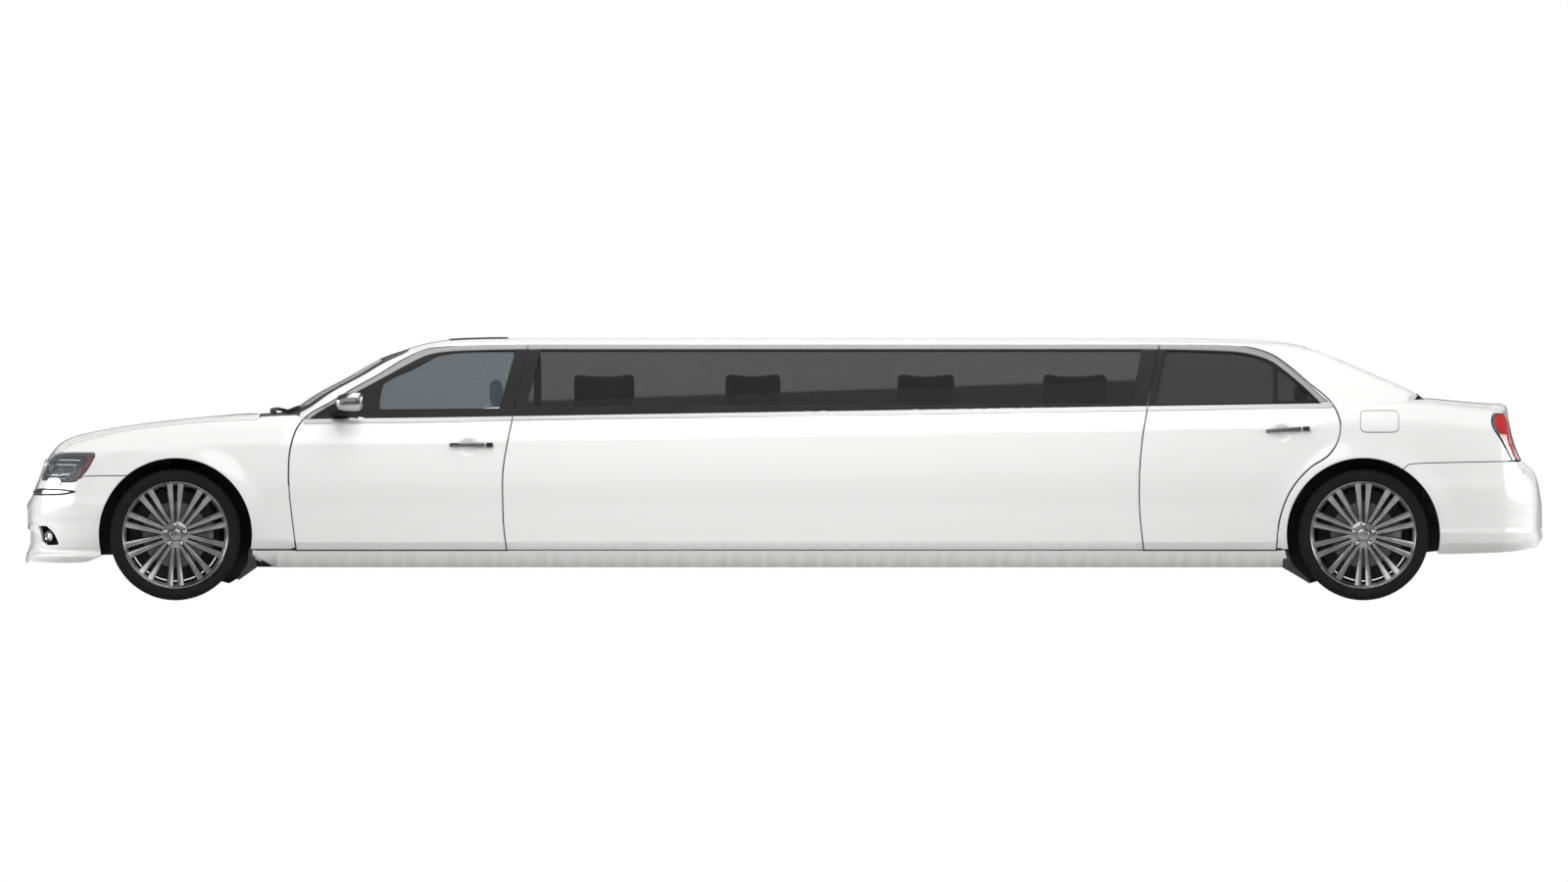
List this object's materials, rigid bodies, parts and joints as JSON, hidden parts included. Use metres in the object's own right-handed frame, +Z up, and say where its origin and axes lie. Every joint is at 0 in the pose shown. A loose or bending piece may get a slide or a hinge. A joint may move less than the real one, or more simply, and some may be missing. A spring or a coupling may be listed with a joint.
{
  "type": "stretched limousine",
  "caption": "White stretched limousine: hollow body shell with opening doors, hood, boot lid and fuel flap, steered front wheels and a lounge cabin behind a partition.",
  "frame": {"origin": "on the ground below the middle of the overall length and width", "axes": "+Y towards the tail, -Y towards the nose, +X towards the car's left side, +Z up"},
  "size_m": [2.13, 8.41, 1.459],
  "materials": {
    "white_paint": "clear coated gloss",
    "dark_glass": "tinted",
    "black_plastic": "fine grain",
    "tyre_rubber": "matt",
    "wheel_alloy": "silver lacquer",
    "dull_steel": "dull",
    "chrome": "polished",
    "clear_lamp": "clear lens",
    "red_lamp": "red lens",
    "black_leather": "soft grain",
    "grey_trim": "fine grain"
  },
  "bodies": {
    "body": {"front_bumper": "white_paint", "grille": "black_plastic", "headlight_left": "clear_lamp", "headlight_right": "clear_lamp", "fender_left": "white_paint", "fender_right": "white_paint", "windscreen": "dark_glass", "roof_panel": "white_paint", "rear_window": "dark_glass", "side_panel_left": "white_paint", "side_panel_right": "white_paint", "side_window_left": "dark_glass", "side_window_right": "dark_glass", "quarter_panel_left": "white_paint", "quarter_panel_right": "white_paint", "rear_bumper": "white_paint", "tail_lamp_left": "red_lamp", "tail_lamp_right": "red_lamp", "sill_left": "white_paint", "sill_right": "white_paint", "front_structure": "black_plastic", "floor_pan": "black_plastic", "rear_structure": "black_plastic", "engine": "dull_steel", "exhaust": "dull_steel", "front_subframe": "dull_steel", "rear_axle": "dull_steel", "dashboard": "grey_trim", "front_seats": "black_leather", "partition": "black_leather", "side_bench": "black_leather", "rear_bench": "black_leather"},
    "front_door_left": {"front_door_left": "white_paint", "front_door_glass_left": "dark_glass", "mirror_left": "chrome"},
    "rear_door_left": {"rear_door_left": "white_paint", "rear_door_glass_left": "dark_glass"},
    "front_door_right": {"front_door_right": "white_paint", "front_door_glass_right": "dark_glass", "mirror_right": "chrome"},
    "rear_door_right": {"rear_door_right": "white_paint", "rear_door_glass_right": "dark_glass"},
    "hood": {"hood": "white_paint"},
    "trunk_lid": {"trunk_lid": "white_paint"},
    "fuel_flap": {"fuel_flap": "white_paint"},
    "knuckle_left": {"knuckle_left": "dull_steel"},
    "knuckle_right": {"knuckle_right": "dull_steel"},
    "wheel_front_left": {"rim_front_left": "wheel_alloy", "tyre_front_left": "tyre_rubber"},
    "wheel_front_right": {"rim_front_right": "wheel_alloy", "tyre_front_right": "tyre_rubber"},
    "wheel_rear_left": {"rim_rear_left": "wheel_alloy", "tyre_rear_left": "tyre_rubber"},
    "wheel_rear_right": {"rim_rear_right": "wheel_alloy", "tyre_rear_right": "tyre_rubber"}
  },
  "joints": [
    {"name": "front_door_left_hinge", "type": "hinge", "parent": "body", "child": "front_door_left", "pos_m": [0.953, -2.76, 0.62], "axis": [0, 0, -1], "range_deg": [0, 65]},
    {"name": "rear_door_left_hinge", "type": "hinge", "parent": "body", "child": "rear_door_left", "pos_m": [0.953, 1.975, 0.62], "axis": [0, 0, -1], "range_deg": [0, 65]},
    {"name": "front_door_right_hinge", "type": "hinge", "parent": "body", "child": "front_door_right", "pos_m": [-0.953, -2.76, 0.62], "axis": [0, 0, 1], "range_deg": [0, 65]},
    {"name": "rear_door_right_hinge", "type": "hinge", "parent": "body", "child": "rear_door_right", "pos_m": [-0.953, 1.975, 0.62], "axis": [0, 0, 1], "range_deg": [0, 65]},
    {"name": "hood_hinge", "type": "hinge", "parent": "body", "child": "hood", "pos_m": [0, -2.921, 1.04], "axis": [-1, 0, 0], "range_deg": [0, 55]},
    {"name": "trunk_lid_hinge", "type": "hinge", "parent": "body", "child": "trunk_lid", "pos_m": [0, 3.504, 1.13], "axis": [1, 0, 0], "range_deg": [0, 75]},
    {"name": "fuel_flap_hinge", "type": "hinge", "parent": "body", "child": "fuel_flap", "pos_m": [0.927, 3.199, 0.935], "axis": [0.1564, 0, -0.9877], "range_deg": [0, 90]},
    {"name": "steer_left", "type": "hinge", "parent": "body", "child": "knuckle_left", "pos_m": [0.74, -3.39, 0.365], "axis": [0, 0, 1], "range_deg": [-35, 35]},
    {"name": "steer_right", "type": "hinge", "parent": "body", "child": "knuckle_right", "pos_m": [-0.74, -3.39, 0.365], "axis": [0, 0, 1], "range_deg": [-35, 35]},
    {"name": "front_wheel_left_spin", "type": "hinge", "parent": "knuckle_left", "child": "wheel_front_left", "pos_m": [0.8, -3.39, 0.365], "axis": [1, 0, 0], "continuous": true},
    {"name": "front_wheel_right_spin", "type": "hinge", "parent": "knuckle_right", "child": "wheel_front_right", "pos_m": [-0.8, -3.39, 0.365], "axis": [1, 0, 0], "continuous": true},
    {"name": "rear_wheel_left_spin", "type": "hinge", "parent": "body", "child": "wheel_rear_left", "pos_m": [0.8, 3.217, 0.365], "axis": [1, 0, 0], "continuous": true},
    {"name": "rear_wheel_right_spin", "type": "hinge", "parent": "body", "child": "wheel_rear_right", "pos_m": [-0.8, 3.217, 0.365], "axis": [1, 0, 0], "continuous": true}
  ],
  "couplings": [
    {"joint": "steer_right", "follows": "steer_left", "ratio": 1}
  ]
}
